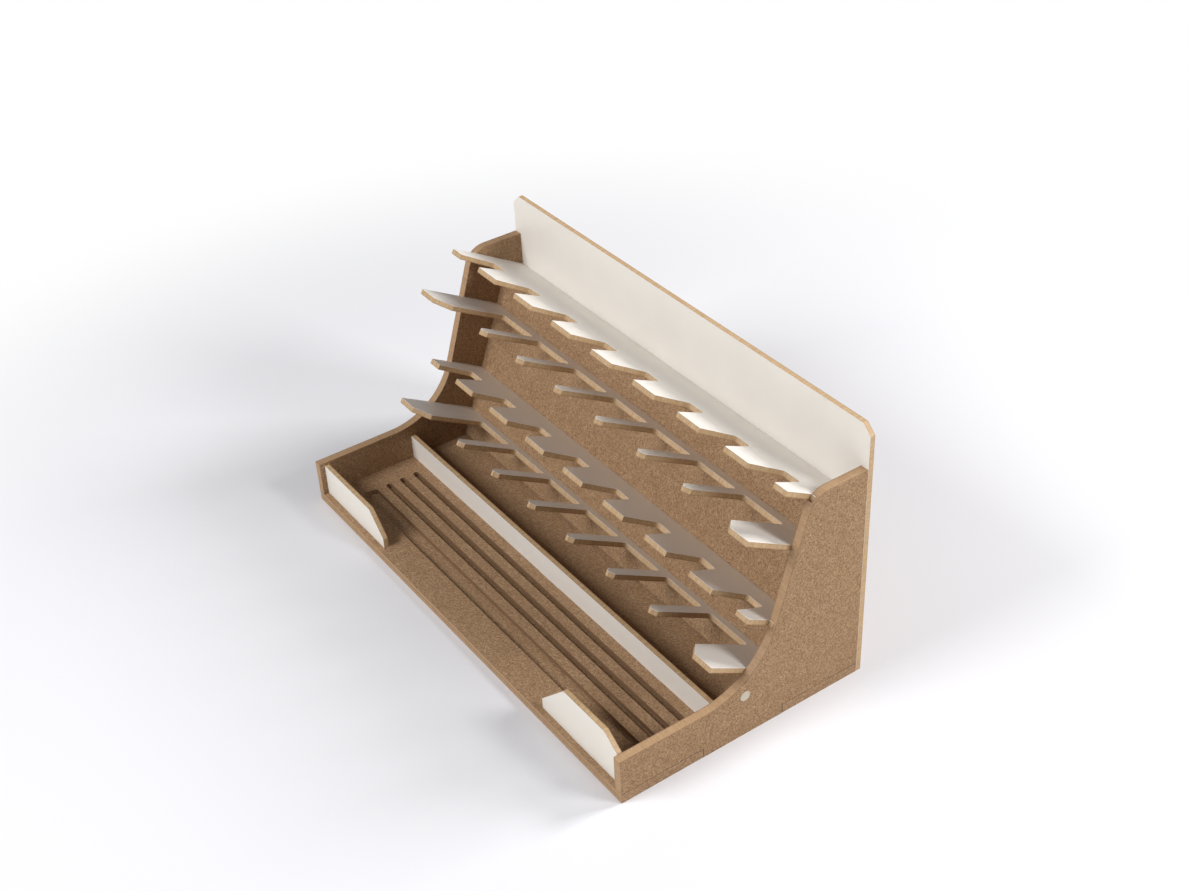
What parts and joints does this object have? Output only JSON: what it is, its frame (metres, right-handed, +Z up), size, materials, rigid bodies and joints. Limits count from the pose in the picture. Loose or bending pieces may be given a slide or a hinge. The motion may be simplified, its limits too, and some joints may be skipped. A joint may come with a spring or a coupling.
{
  "type": "hobby workstation organizer",
  "caption": "Fibreboard desktop organizer: tilted notched shelves hold rows of paint jars above a brush tray with long slots, a white back panel and low stepped sides.",
  "frame": {"origin": "middle of the footprint, on the surface that the organizer stands on", "axes": "+X along its length, to the right as seen from the front; +Y from the front to the back panel; +Z up"},
  "size_m": [0.3, 0.15, 0.151],
  "materials": {
    "raw_fibreboard": "matte, fine speckle, darker laser-cut edges",
    "white_faced_fibreboard": "white melamine front face, brown back and laser-cut edges",
    "nickel_plated_magnet": "dull nickel plating"
  },
  "bodies": {
    "root": {"base_board": "raw_fibreboard", "tray_board": "raw_fibreboard", "back_panel": "white_faced_fibreboard", "right_side_inner": "raw_fibreboard", "right_side_outer": "raw_fibreboard", "left_side_inner": "raw_fibreboard", "left_side_outer": "raw_fibreboard", "shelf_1": "white_faced_fibreboard", "shelf_2": "white_faced_fibreboard", "shelf_3": "white_faced_fibreboard", "shelf_4": "white_faced_fibreboard", "rest_panel": "raw_fibreboard", "riser": "white_faced_fibreboard", "left_plate": "white_faced_fibreboard", "right_plate": "white_faced_fibreboard", "left_magnet": "nickel_plated_magnet", "right_magnet": "nickel_plated_magnet"}
  },
  "joints": []
}
